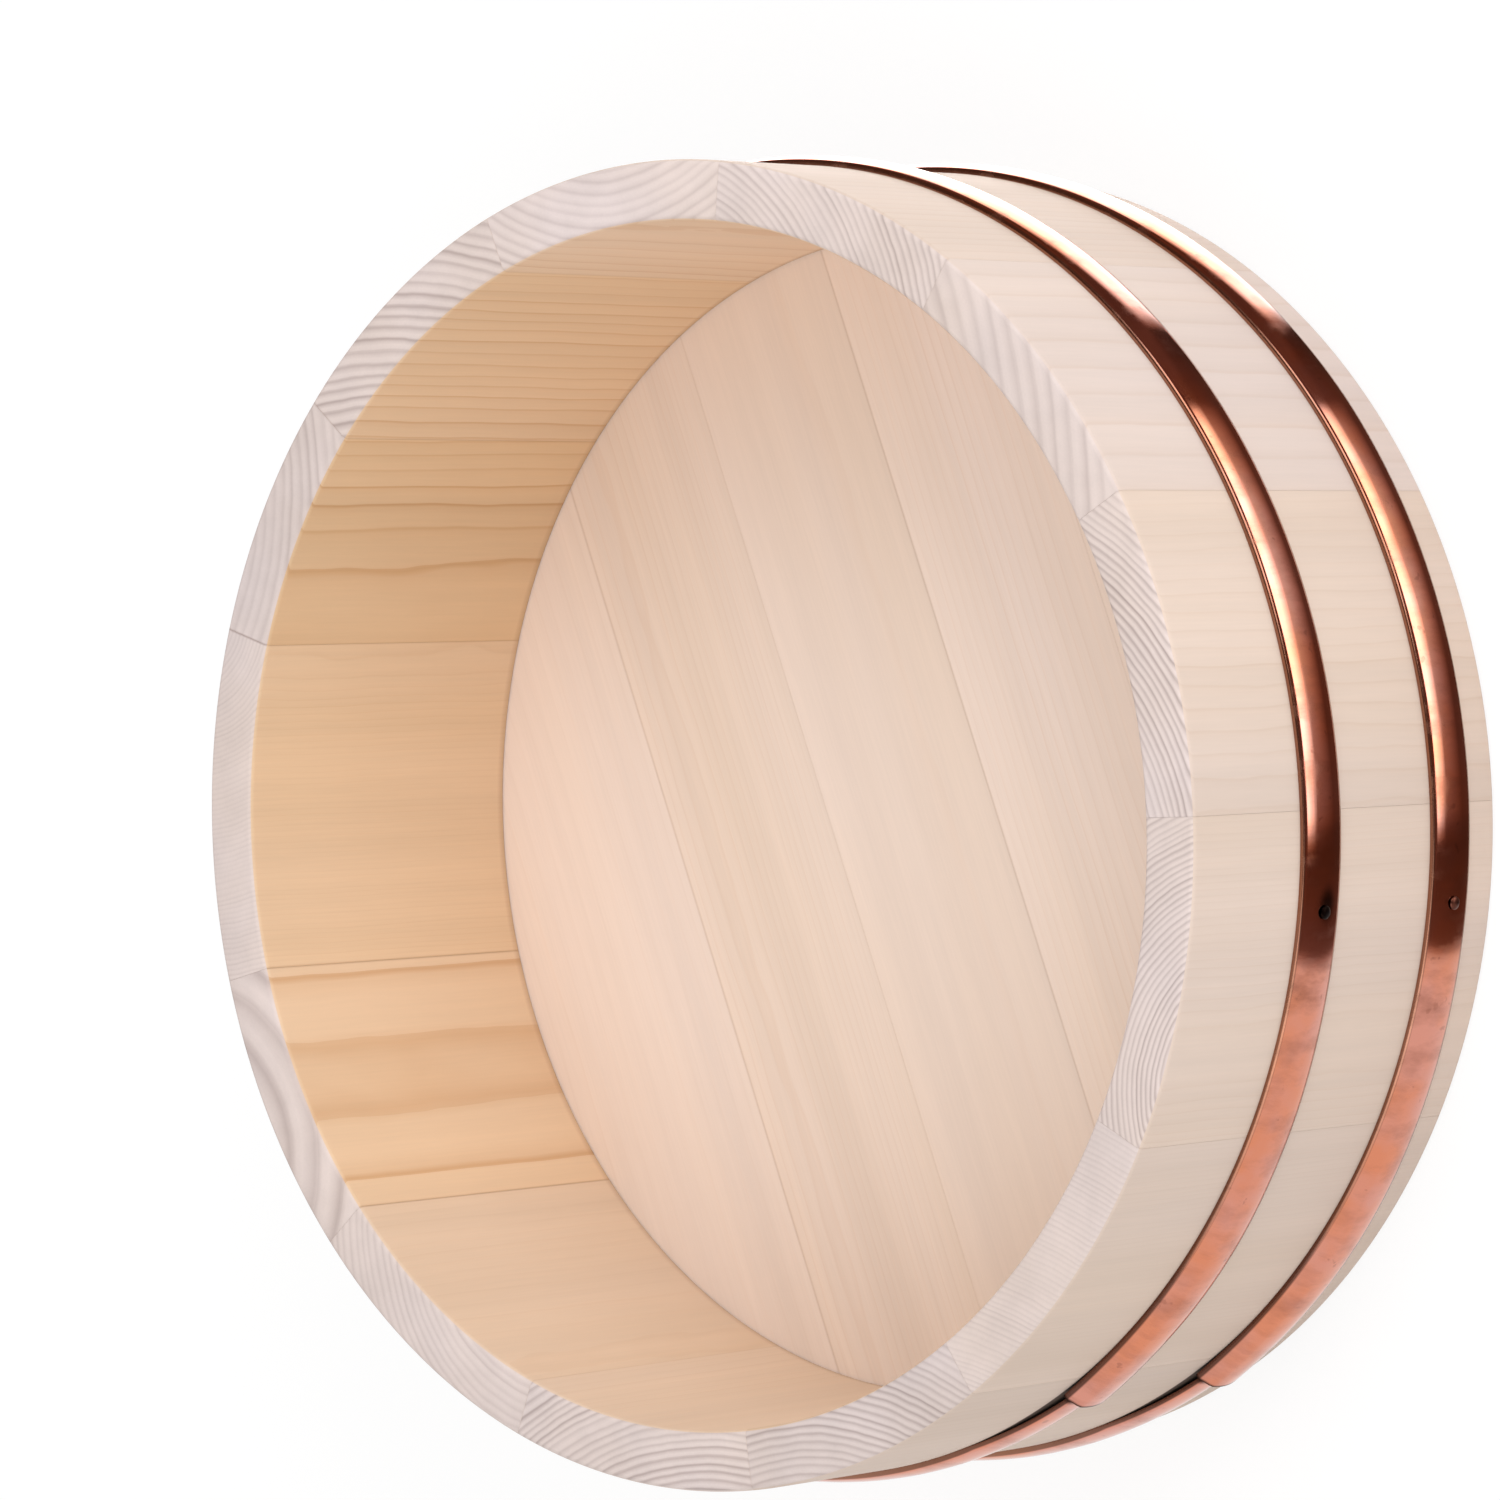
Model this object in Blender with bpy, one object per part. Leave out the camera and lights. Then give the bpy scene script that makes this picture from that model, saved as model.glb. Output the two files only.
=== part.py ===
"""Sushi rice tub: pinned staves round a grooved-in floor of boards, bound by two lapped copper hoops.

Metres, +Z up. The origin is on the ground at the centre of the foot, and the floor boards run along X.
"""

import math

import bmesh
import bpy
from mathutils import Matrix, Vector

# Tub body
RIM_DIAMETER = 0.330
HEIGHT = 0.1193
WALL = 0.0151
LEAN = math.radians(1.14)
EDGE_EASE = 0.0015

# Staves: widths along the outside of the rim, planed in proportion so that the ring closes
STAVE_WIDTHS = (
    0.078, 0.067, 0.093, 0.076, 0.081, 0.081, 0.078,
    0.082, 0.082, 0.081, 0.078, 0.079, 0.081,
)
FIRST_JOINT = math.radians(0.7)
GLUE_LINE = 0.00015

# Floor: its first joint is a place along Y, and the widths are those of the boards between its joints
FLOOR_HEIGHT = 0.0266
BOARD_THICKNESS = 0.0150
FIRST_BOARD_JOINT = -0.0760
BOARD_WIDTHS = (0.0531, 0.0536, 0.0518)
GROOVE_DEPTH = 0.0045
TONGUE_THICKNESS = 0.0105
TONGUE_BEVEL = 0.0090

# Bamboo pins
PIN_DIAMETER = 0.0045
PIN_LENGTH = 0.0280
PIN_POINT_DIAMETER = 0.0026
PIN_POINT_LENGTH = 0.0050
STAVE_PIN_HEIGHTS = {"low": 0.0480, "high": 0.0960}
FLOOR_PIN_PLACES = {"a": -0.0700, "b": 0.0700}

# Copper hoops: heights are those of the middle of the strip
HOOP_HEIGHTS = {"upper": 0.0708, "lower": 0.0191}
HOOP_WIDTH = 0.0148
HOOP_THICKNESS = 0.0009
HOOP_CROWN = 0.0015
HOOP_SEAM = math.radians(190.6)

# Lap of each hoop: the first end is trimmed along its upper edge to a tongue, and the last end climbs over
# it along the ramp. The doubled stretch is stiff, so it stands off the staves, and the tip on top springs
# out a little.
HOOP_LAP = 0.0320
HOOP_RAMP = 0.1000
HOOP_TONGUE_WIDTH = 0.0086
HOOP_TONGUE_TAPER = 0.0680
LAP_STANDOFF = 0.0005
LAP_STANDOFF_REACH = 0.0700
TIP_SPRING = 0.0008
TIP_SPRING_LENGTH = 0.0300

# Copper tacks: angles are measured from the hoop's seam
TACK_ANGLES = (math.radians(51), math.radians(175), math.radians(300))
TACK_HEAD_DIAMETER = 0.0034
TACK_HEAD_HEIGHT = 0.0007
TACK_SHANK_DIAMETER = 0.0013
TACK_SHANK_LENGTH = 0.0090

# Room between pieces that fit into or onto one another
FIT = 0.0003

# Facets
ARC_STEP = math.radians(4.0)
FLOOR_SEGMENTS = 96
ROD_SEGMENTS = 8
CROWN_STEPS = 4

RIM_RADIUS = RIM_DIAMETER / 2


def outer_radius(z):
    """Radius of the outer wall, which leans outwards towards the rim."""
    return RIM_RADIUS - (HEIGHT - z) * math.tan(LEAN)


def inner_radius(z):
    return outer_radius(z) - WALL


def at_angle(angle, radius, z):
    return Vector((radius * math.cos(angle), radius * math.sin(angle), z))


# Heights and radii that the staves and the floor share
TONGUE_UNDERSIDE = FLOOR_HEIGHT - TONGUE_THICKNESS
GROOVE_TOP = FLOOR_HEIGHT + FIT
GROOVE_BOTTOM = TONGUE_UNDERSIDE - FIT
GROOVE_RADIUS = inner_radius(GROOVE_TOP) + GROOVE_DEPTH
FLOOR_RADIUS = GROOVE_RADIUS - FIT
FLOOR_UNDERSIDE = FLOOR_HEIGHT - BOARD_THICKNESS
FLOOR_MIDDLE = FLOOR_HEIGHT - BOARD_THICKNESS / 2


def clear_scene():
    for old in list(bpy.data.objects):
        bpy.data.objects.remove(old, do_unlink=True)


def principled(name, colour, roughness, metallic=0.0):
    material = bpy.data.materials.new(name)
    material.use_nodes = True
    shader = material.node_tree.nodes["Principled BSDF"]
    shader.inputs["Base Color"].default_value = (*colour, 1.0)
    shader.inputs["Roughness"].default_value = roughness
    shader.inputs["Metallic"].default_value = metallic
    return material


def finished_mesh(name, bm):
    """Closes a bmesh into a mesh with outward faces, smooth on its round stretches."""
    bmesh.ops.recalc_face_normals(bm, faces=bm.faces)
    mesh = bpy.data.meshes.new(name)
    bm.to_mesh(mesh)
    bm.free()
    mesh.shade_smooth()
    mesh.set_sharp_from_angle(angle=math.radians(30))
    return mesh


def place(name, mesh, parent, material=None, location=(0, 0, 0), rotation=None):
    piece = bpy.data.objects.new(name, mesh)
    bpy.context.scene.collection.objects.link(piece)
    piece.parent = parent
    piece.location = location
    if rotation is not None:
        piece.rotation_euler = rotation.to_euler()
    if material is not None and not mesh.materials:
        mesh.materials.append(material)
    return piece


def turned(bm, profile, segments, transform):
    """Adds a solid turned about Z from its profile of (radius, height) pairs, lowest first."""
    radius, height = profile[0]
    ring = bmesh.ops.create_circle(bm, cap_ends=True, segments=segments, radius=radius)
    verts = ring["verts"]
    made = list(verts)
    bmesh.ops.translate(bm, verts=verts, vec=(0, 0, height))
    cap = verts[0].link_faces[0]
    for radius, height in profile[1:]:
        raised = bmesh.ops.extrude_face_region(bm, geom=[cap, *cap.edges, *cap.verts])["geom"]
        verts = [v for v in raised if isinstance(v, bmesh.types.BMVert)]
        cap = next(f for f in raised if isinstance(f, bmesh.types.BMFace))
        for vert in verts:
            spoke = Vector((vert.co.x, vert.co.y, 0)).normalized() * radius
            vert.co = (spoke.x, spoke.y, height)
        made.extend(verts)
    bmesh.ops.transform(bm, matrix=transform, verts=made)


def turned_mesh(name, profile, segments=ROD_SEGMENTS):
    bm = bmesh.new()
    turned(bm, profile, segments, Matrix.Identity(4))
    return finished_mesh(name, bm)


def bore_cutter(name, frames, profile, parent):
    """One hidden tool that drills the same profile at each of the given frames."""
    bm = bmesh.new()
    for frame in frames:
        turned(bm, profile, ROD_SEGMENTS, frame)
    cutter = place(name, finished_mesh(name, bm), parent)
    cutter.hide_render = True
    cutter.display_type = "WIRE"
    return cutter


def drill(piece, cutter):
    bore = piece.modifiers.new(cutter.name, "BOOLEAN")
    bore.operation = "DIFFERENCE"
    bore.solver = "EXACT"
    bore.object = cutter


def stave_arcs():
    """(start angle, arc) of each stave round the ring."""
    total = sum(STAVE_WIDTHS)
    start = FIRST_JOINT
    arcs = []
    for width in STAVE_WIDTHS:
        arc = 2 * math.pi * width / total
        arcs.append((start, arc))
        start += arc
    return arcs


def stave_profile():
    """Section of a stave through the tub's axis, as (radius, height), with the groove for the floor."""
    top, ease = HEIGHT, EDGE_EASE
    return [
        (outer_radius(0) - ease, 0),
        (outer_radius(ease), ease),
        (outer_radius(top - ease), top - ease),
        (outer_radius(top) - ease, top),
        (inner_radius(top) + ease, top),
        (inner_radius(top - ease), top - ease),
        (inner_radius(GROOVE_TOP), GROOVE_TOP),
        (GROOVE_RADIUS, GROOVE_TOP),
        (GROOVE_RADIUS, GROOVE_BOTTOM),
        (inner_radius(GROOVE_BOTTOM), GROOVE_BOTTOM),
        (inner_radius(ease), ease),
        (inner_radius(0) + ease, 0),
    ]


def stave_mesh(name, arc):
    """The stave's section swept through its arc, less half a glue line at each side."""
    half_glue = GLUE_LINE / 2 / inner_radius(0)
    bm = bmesh.new()
    section = bm.faces.new([bm.verts.new((r, 0, z)) for r, z in stave_profile()])
    bmesh.ops.rotate(bm, verts=bm.verts, matrix=Matrix.Rotation(half_glue, 3, "Z"))
    bmesh.ops.spin(
        bm,
        geom=[section, *section.edges, *section.verts],
        axis=(0, 0, 1),
        angle=arc - 2 * half_glue,
        steps=math.ceil(arc / ARC_STEP),
    )
    return finished_mesh(name, bm)


def pin_profile(room=0.0):
    """A rod pointed at both ends, or with some room the straight bore that it sits in."""
    half = PIN_LENGTH / 2 + room
    body = PIN_DIAMETER / 2 + room
    if room:
        return [(body, -half), (body, half)]
    shoulder = half - PIN_POINT_LENGTH
    point = PIN_POINT_DIAMETER / 2
    return [(point, -half), (body, -shoulder), (body, shoulder), (point, half)]


def stave_pin_frames():
    """Name and frame of each pin across a stave joint, its Z along the tangent."""
    frames = {}
    for number, (angle, _) in enumerate(stave_arcs(), start=1):
        turn = Matrix.Rotation(angle, 4, "Z") @ Matrix.Rotation(-math.pi / 2, 4, "X")
        for level, z in STAVE_PIN_HEIGHTS.items():
            centre = at_angle(angle, outer_radius(z) - WALL / 2, z)
            frames[f"stave_pin_{number:02d}_{level}"] = Matrix.Translation(centre) @ turn
    return frames


def board_joints():
    """Places of the joints between the floor boards, along Y."""
    joints = [FIRST_BOARD_JOINT]
    for width in BOARD_WIDTHS:
        joints.append(joints[-1] + width)
    return joints


def floor_pin_frames():
    """Name and frame of each pin across a floor joint, its Z along Y."""
    turn = Matrix.Rotation(-math.pi / 2, 4, "X")
    frames = {}
    for number, y in enumerate(board_joints(), start=1):
        for place_name, x in FLOOR_PIN_PLACES.items():
            centre = Vector((x, y, FLOOR_MIDDLE))
            frames[f"floor_pin_{number}_{place_name}"] = Matrix.Translation(centre) @ turn
    return frames


def floor_profile():
    """Edge of the whole round floor, bevelled below down to the tongue that fills the groove."""
    lip = inner_radius(GROOVE_BOTTOM) - FIT
    return [
        (lip - TONGUE_BEVEL, FLOOR_UNDERSIDE),
        (lip, TONGUE_UNDERSIDE),
        (FLOOR_RADIUS, TONGUE_UNDERSIDE),
        (FLOOR_RADIUS, FLOOR_HEIGHT),
    ]


def board_mesh(name, low, high):
    """The part of the round floor between two joints; an end board has one open side."""
    bm = bmesh.new()
    turned(bm, floor_profile(), FLOOR_SEGMENTS, Matrix.Identity(4))
    for y, keep in ((low, 1), (high, -1)):
        if y is None:
            continue
        cut = bmesh.ops.bisect_plane(
            bm,
            geom=[*bm.verts, *bm.edges, *bm.faces],
            plane_co=(0, y + keep * GLUE_LINE / 2, 0),
            plane_no=(0, -keep, 0),
            clear_outer=True,
        )["geom_cut"]
        rim = [edge for edge in cut if isinstance(edge, bmesh.types.BMEdge)]
        bmesh.ops.contextual_create(bm, geom=rim)
    return finished_mesh(name, bm)


def crown(across):
    """Height of the hoop's domed section at a place across its width, zero at its edges."""
    half = HOOP_WIDTH / 2
    arc_radius = (half**2 + HOOP_CROWN**2) / (2 * HOOP_CROWN)
    return math.sqrt(arc_radius**2 - across**2) - (arc_radius - HOOP_CROWN)


def smooth_step(share):
    share = min(max(share, 0.0), 1.0)
    return share * share * (3 - 2 * share)


def hoop_section(start, left, radius):
    """Width of the strip, and its lift off the staves, at arc lengths from its start and left to its tip."""
    width = HOOP_WIDTH - (HOOP_WIDTH - HOOP_TONGUE_WIDTH) * max(1 - start / HOOP_TONGUE_TAPER, 0)
    foot_of_ramp = HOOP_LAP + ARC_STEP * radius + HOOP_RAMP
    climb = (HOOP_THICKNESS + FIT) * smooth_step((foot_of_ramp - left) / HOOP_RAMP)
    from_lap = min(abs(start - HOOP_LAP / 2), abs(left - HOOP_LAP / 2))
    standoff = LAP_STANDOFF * smooth_step(1 - from_lap / LAP_STANDOFF_REACH)
    spring = TIP_SPRING * max(1 - left / TIP_SPRING_LENGTH, 0) ** 2
    return width, climb + standoff + spring


def hoop_mesh(name, height):
    """A domed strip wound once round the staves, its last stretch lifted over its own first end.

    The seam is at angle zero. The strip starts under the lap and winds clockwise seen from above.
    """
    radius = outer_radius(height)
    lap = HOOP_LAP / radius
    whole = 2 * math.pi + lap
    sections = math.ceil(whole / ARC_STEP)
    bm = bmesh.new()
    loops = []
    for step in range(sections + 1):
        wound = whole * step / sections
        width, lift = hoop_section(wound * radius, (whole - wound) * radius, radius)
        inside, outside = [], []
        for place_across in range(CROWN_STEPS + 1):
            across = width * place_across / CROWN_STEPS - HOOP_WIDTH / 2
            seat = outer_radius(height + across) + FIT + crown(across) + lift
            inside.append(bm.verts.new(at_angle(lap - wound, seat, across)))
            outside.append(bm.verts.new(at_angle(lap - wound, seat + HOOP_THICKNESS, across)))
        loops.append(inside + outside[::-1])
    for here, after in zip(loops, loops[1:]):
        for side in range(len(here)):
            other = (side + 1) % len(here)
            bm.faces.new((here[side], here[other], after[other], after[side]))
    bm.faces.new(loops[0])
    bm.faces.new(loops[-1])
    return finished_mesh(name, bm)


def tack_profile():
    """A domed head over a pointed shank; height zero is the underside of the head."""
    head, shank = TACK_HEAD_DIAMETER / 2, TACK_SHANK_DIAMETER / 2
    return [
        (shank / 3, -TACK_SHANK_LENGTH),
        (shank, -TACK_SHANK_LENGTH + TACK_SHANK_DIAMETER),
        (shank, 0),
        (head, 0),
        (head * 0.85, TACK_HEAD_HEIGHT * 0.6),
        (head * 0.4, TACK_HEAD_HEIGHT),
    ]


def tack_bore_profile():
    bore = TACK_SHANK_DIAMETER / 2 + FIT
    return [(bore, -TACK_SHANK_LENGTH - FIT), (bore, TACK_HEAD_HEIGHT)]


def tack_frames():
    """Name and frame of each tack, its Z pointing out of the hoop's crown."""
    frames = {}
    for hoop, z in HOOP_HEIGHTS.items():
        seat = outer_radius(z) + FIT + HOOP_CROWN + HOOP_THICKNESS + FIT
        for number, from_seam in enumerate(TACK_ANGLES, start=1):
            angle = HOOP_SEAM + from_seam
            turn = Matrix.Rotation(angle, 4, "Z") @ Matrix.Rotation(math.pi / 2, 4, "Y")
            frames[f"tack_{hoop}_{number}"] = Matrix.Translation(at_angle(angle, seat, z)) @ turn
    return frames


def place_each(frames, mesh, parent, material):
    for name, frame in frames.items():
        place(name, mesh, parent, material, frame.translation, frame.to_3x3())


def main():
    clear_scene()
    softwood = principled("pale_softwood", (0.80, 0.65, 0.47), 0.62)
    floorwood = principled("floor_softwood", (0.82, 0.66, 0.49), 0.60)
    bamboo = principled("bamboo", (0.72, 0.58, 0.33), 0.55)
    copper = principled("copper", (0.80, 0.38, 0.24), 0.26, 1.0)

    tub = bpy.data.objects.new("tub", None)
    bpy.context.scene.collection.objects.link(tub)

    stave_pins = stave_pin_frames()
    floor_pins = floor_pin_frames()
    tacks = tack_frames()
    stave_bores = bore_cutter("stave_bores", stave_pins.values(), pin_profile(FIT), tub)
    floor_bores = bore_cutter("floor_bores", floor_pins.values(), pin_profile(FIT), tub)
    tack_bores = bore_cutter("tack_bores", tacks.values(), tack_bore_profile(), tub)

    for number, (start, arc) in enumerate(stave_arcs(), start=1):
        name = f"stave_{number:02d}"
        stave = place(name, stave_mesh(name, arc), tub, softwood, rotation=Matrix.Rotation(start, 3, "Z"))
        drill(stave, stave_bores)
        drill(stave, tack_bores)

    edges = (None, *board_joints(), None)
    for number, (low, high) in enumerate(zip(edges, edges[1:]), start=1):
        name = f"floor_board_{number}"
        board = place(name, board_mesh(name, low, high), tub, floorwood)
        drill(board, floor_bores)

    for hoop, height in HOOP_HEIGHTS.items():
        name = f"hoop_{hoop}"
        seam = Matrix.Rotation(HOOP_SEAM, 3, "Z")
        strip = place(name, hoop_mesh(name, height), tub, copper, (0, 0, height), seam)
        drill(strip, tack_bores)

    pin = turned_mesh("pin", pin_profile())
    place_each(stave_pins, pin, tub, bamboo)
    place_each(floor_pins, pin, tub, bamboo)
    place_each(tacks, turned_mesh("tack", tack_profile()), tub, copper)


main()
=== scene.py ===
"""Looks of the sushi rice tub: grained softwood staves and floor, and lapped copper hoops with tacks.

Metres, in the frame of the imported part: +Z up along the tub's axis, floor boards along X.
"""

import math

import bmesh
import bpy
from mathutils import Matrix, Vector, noise

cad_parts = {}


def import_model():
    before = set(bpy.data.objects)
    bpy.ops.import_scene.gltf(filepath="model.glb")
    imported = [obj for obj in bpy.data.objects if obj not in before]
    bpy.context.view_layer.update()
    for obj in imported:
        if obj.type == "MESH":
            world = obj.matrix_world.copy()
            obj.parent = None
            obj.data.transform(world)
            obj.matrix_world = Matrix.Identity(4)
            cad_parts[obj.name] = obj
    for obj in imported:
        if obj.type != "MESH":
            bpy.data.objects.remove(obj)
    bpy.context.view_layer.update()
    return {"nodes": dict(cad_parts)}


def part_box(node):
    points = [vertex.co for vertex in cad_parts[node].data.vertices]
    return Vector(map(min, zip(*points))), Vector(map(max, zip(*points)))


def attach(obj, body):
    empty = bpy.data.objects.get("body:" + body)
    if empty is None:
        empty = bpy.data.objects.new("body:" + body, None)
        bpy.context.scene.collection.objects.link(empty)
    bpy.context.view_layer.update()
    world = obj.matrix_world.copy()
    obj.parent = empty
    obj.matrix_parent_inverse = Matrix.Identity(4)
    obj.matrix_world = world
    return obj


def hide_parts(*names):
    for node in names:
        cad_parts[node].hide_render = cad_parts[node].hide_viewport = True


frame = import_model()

MM = 0.001

# Camera, as fitted to the outlines of the rim, the floor and the hoops
CAMERA_AZIMUTH = math.radians(-19.31)
CAMERA_ELEVATION = math.radians(47.84)
CAMERA_ROLL = math.radians(92.48)
CAMERA_DISTANCE = 2.3414
CAMERA_AIM = Vector((0.0223, 0.0088, 0.0742))
CAMERA_LENS_MM = 222.7

# Studio light: a soft even world and large soft lamps. Each lamp has its direction and height in degrees, and
# its power in watts.
WORLD_STRENGTH = 0.72
LAMPS = {
    "key": (300, 30, 21.0),
    "fill": (200, 50, 11.8),
}
LAMP_DISTANCE = 2.2
LAMP_SIZE = 1.6

# White paper just under the tub: how light it is where it lights the tub, and where it is seen it is darker
# but glows, so that it shows white
PAPER_SIZE = 16.0
PAPER_DROP = 0.1 * MM
PAPER_ALBEDO = 0.80
PAPER_SEEN_ALBEDO = 0.22
PAPER_GLOW = 0.80

# What the polished copper reflects. Each direction of the studio is named by the facing that mirrors it to a
# fixed pole: how many degrees round the tub and how many degrees upwards a mirror has to face. Each row has a
# facing round the tub, the level of light above an edge, the upward tilt of that edge, the level just below
# the edge and the level some way under it. Rows between two dark gaps make one reflecting panel.
PANEL_POLE_AZIMUTH = math.radians(250.7)
PANEL_POLE_ELEVATION = math.radians(47.8)
PANELS = (
    (0, 4.0, 24, 4.0, 4.0),
    (60, 4.0, 24, 4.0, 4.0),
    (120, 0.9, 11, 0.9, 0.9),
    (236.2, 0.9, 11, 0.9, 0.9),
    (237.4, 0.14, 11, 0.14, 0.12),
    (247, 0.07, 11, 0.07, 0.06),
    (249, 2.6, 11, 0.35, 0.10),
    (256, 3.2, 10, 0.55, 0.10),
    (268, 3.6, 8, 0.95, 0.12),
    (276, 3.6, 8.5, 0.95, 0.12),
    (285, 2.8, 10, 0.55, 0.10),
    (286.5, 0.15, 10, 0.14, 0.10),
    (296, 0.12, 2, 0.05, 0.03),
    (298.5, 0.10, 4, 2.4, 2.4),
    (306, 0.10, 9, 3.2, 3.2),
    (314, 0.10, 13, 3.4, 3.4),
    (322, 0.10, 16, 3.6, 3.6),
    (331, 0.10, 22, 4.0, 4.0),
    (334, 4.0, 24, 4.0, 4.0),
    (360, 4.0, 24, 4.0, 4.0),
)

# Brightest level and steepest tilt that a row may have, and the degrees over which an edge is blurred and the
# light under it fades
PANEL_PEAK = 4.0
PANEL_STEEPEST = 90.0
PANEL_EDGE_BLUR = 7.0
PANEL_FADE = 22.0

# The ceiling above the panels: the tilt where it begins, and rows of facing and level
CEILING_TILT = 20.5
CEILING_BLUR = 1.0
CEILING = (
    (0, 1.3),
    (58, 1.3),
    (62, 0.2),
    (73, 0.2),
    (77, 0.95),
    (118, 0.95),
    (122, 0.12),
    (133, 0.12),
    (137, 0.9),
    (236.2, 0.9),
    (237.4, 0.12),
    (348, 0.12),
    (354, 1.3),
    (360, 1.3),
)

# Dark parts of the studio are brown
DARK_LEVEL = 0.10
BRIGHT_LEVEL = 0.70
DARK_TINT = (1.0, 0.50, 0.36)

# Staves and floor: joint lines, rounded edges, and strips along the joints that take the stain of the seams
JOINT_LINE = 0.04 * MM
EDGE_ROUND = 1.4 * MM
EDGE_STEPS = 4
SEAM_WIDTH = 0.5 * MM
STAVE_ARC_STEP = math.radians(1.0)
FLOOR_ROOM = 0.3 * MM
FLOOR_SEGMENTS = 180
END_FACING = 0.75
SHARP_EDGE = math.radians(40)

# How each stave was sawn from its log: the pith lies so many millimetres along the ring and outwards
# from the middle of the stave, its rings are so many millimetres apart, one ring ends so many millimetres
# from the pith, and the rings stand out so strongly on the ends and on the sides. The last two values are
# how much lighter and how much warmer the stave is than the rest: partly the wood's own tone, and partly
# painted shade that darkens the staves on the side of the tub where less light falls.
STAVE_LOGS = {
    "stave_01": (95, -118, 2.9, 0.0, 0.9, 0.7, -0.02, 0.6),
    "stave_02": (32, 76, 3.2, 84.5, 0.45, 0.8, -0.08, 1.1),
    "stave_03": (-48, 14, 1.3, 0.0, 0.25, 0.2, -0.05, 0.5),
    "stave_04": (-5, 36, 9.5, 45.1, 1.0, 1.3, -0.02, 0.4),
    "stave_05": (21, -49, 2.2, 0.0, 0.5, 0.15, -0.05, -0.4),
    "stave_06": (42, 95, 2.0, 0.0, 1.0, 0.2, -0.04, -0.6),
    "stave_07": (-39, 74, 1.9, 0.0, 0.9, 0.4, -0.10, 0.0),
    "stave_08": (-160, 60, 1.4, 0.0, 0.3, 0.3, -0.06, 0.0),
    "stave_09": (-20, 37, 1.5, 0.0, 1.0, 0.4, -0.02, 0.0),
    "stave_10": (-39, -80, 1.85, 0.0, 1.0, 0.5, -0.01, 0.0),
    "stave_11": (110, -165, 4.7, 0.0, 0.5, 0.6, -0.02, -0.5),
    "stave_12": (44, -58, 2.0, 0.0, 0.7, 0.5, -0.02, -0.1),
    "stave_13": (-5, 65, 2.8, 0.0, 0.6, 0.6, 0.01, -0.2),
}

# The same for the floor boards, across the board and upwards from its middle. The first boards' lighter
# tone is partly painted light where the wall shades the floor.
BOARD_LOGS = {
    "floor_board_1": (-60, -130, 2.6, 0.0, 0.4, 0.15, 0.04, 0.1),
    "floor_board_2": (70, -60, 2.4, 0.0, 0.4, 0.40, 0.03, 0.05),
    "floor_board_3": (-20, -160, 6.0, 0.0, 0.4, 0.15, -0.025, 0.25),
    "floor_board_4": (-14, -18, 1.8, 0.0, 0.4, 0.30, -0.03, 0.3),
    "floor_board_5": (-95, -60, 4.6, 0.0, 0.4, 0.15, 0.01, 0.0),
}

# How far a piece may be sawn askew of its log, how far apart along the wood the pieces were cut, and the seed
# that the boards count on from
LOG_TILT = math.radians(0.4)
LOG_SPACING = 1.7
BOARD_SEED = 40

# How dark the glue line at the start of a stave, or at the low side of a floor board, has become on the ends
# and on the sides
PLAIN_SEAM = (0.05, 0.10)
DARK_SEAMS = {
    "stave_02": (0.25, 0.15),
    "stave_03": (0.60, 0.20),
    "stave_04": (0.05, 0.40),
    "stave_05": (0.05, 0.45),
    "floor_board_3": (0.05, 0.35),
    "floor_board_5": (0.05, 0.35),
}

# Painted shade in the corner where the wall meets the floor: how far from the floor's face it is full and
# ends, and how dark it is
FLOOR_LINE = (0.4 * MM, 2.4 * MM)
FLOOR_CORNER_SHADE = 0.42

# Hoop strip: the shape of its lap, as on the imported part
HOOP_THICKNESS = 0.9 * MM
HOOP_ROOM = 0.3 * MM
HOOP_SEAM = math.radians(190.6)
HOOP_LAP = 32.0 * MM
HOOP_RAMP = 100.0 * MM
HOOP_LEVEL_ARC = math.radians(4.0)
HOOP_TONGUE_WIDTH = 8.6 * MM
HOOP_TONGUE_TAPER = 68.0 * MM
LAP_STANDOFF = 0.5 * MM
LAP_STANDOFF_REACH = 70.0 * MM
TIP_SPRING = 0.8 * MM
TIP_SPRING_LENGTH = 30.0 * MM

# Hoop surface: where the upper edge starts to come down beside the tongue, the rounded edge as shares of the
# half width and of the thickness, dents along the strip, and a dimple that each tack was hammered into
EDGE_DROP_START = 3.4 * MM
HOOP_ARC_STEP = math.radians(0.5)
HOOP_CROSS_STEPS = 12
HOOP_EDGE = ((1.0, 0.45), (0.975, 0.86), (0.93, 1.0))
HOOP_DENT = 0.06 * MM
DENTS_ROUND = 7
DENTS_ACROSS = 130
DENTS_BETWEEN_HOOPS = 50
DIMPLE_DEPTH = 0.12 * MM
DIMPLE_RADIUS = 3.0 * MM

# Tacks: a domed head on a pointed shank
TACK_DOME = 0.7 * MM
TACK_SHANK_RADIUS = 0.65 * MM
TACK_POINT_RADIUS = TACK_SHANK_RADIUS / 3
TACK_POINT_LENGTH = 2 * TACK_SHANK_RADIUS
TACK_HEAD_STEPS = 6
TACK_SEGMENTS = 20

# Brown edges of the strip, partly worn tarnish and partly painted shade of the gaps between the strip and
# the wood: how far in from its upper and lower edges, and how high up its thickness, the brown ends and is
# full, and how strong and how much duller it is
UPPER_BROWN = (0.6 * MM, 0.25 * MM)
LOWER_BROWN = (1.9 * MM, 0.6 * MM)
SIDE_BROWN = (0.95 * HOOP_THICKNESS, 0.70 * HOOP_THICKNESS)
BROWN_SHARE = 0.85
BROWN_DULLNESS = 0.12

# Along the strip the brown edges turn black, as painted shade of the gaps at the lap, up to the first of
# these distances from its ends, and are plain brown from the second
BLACK_EDGES = (45.0 * MM, 110.0 * MM)
BLACK_EDGE_SHARE = 0.9
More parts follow.
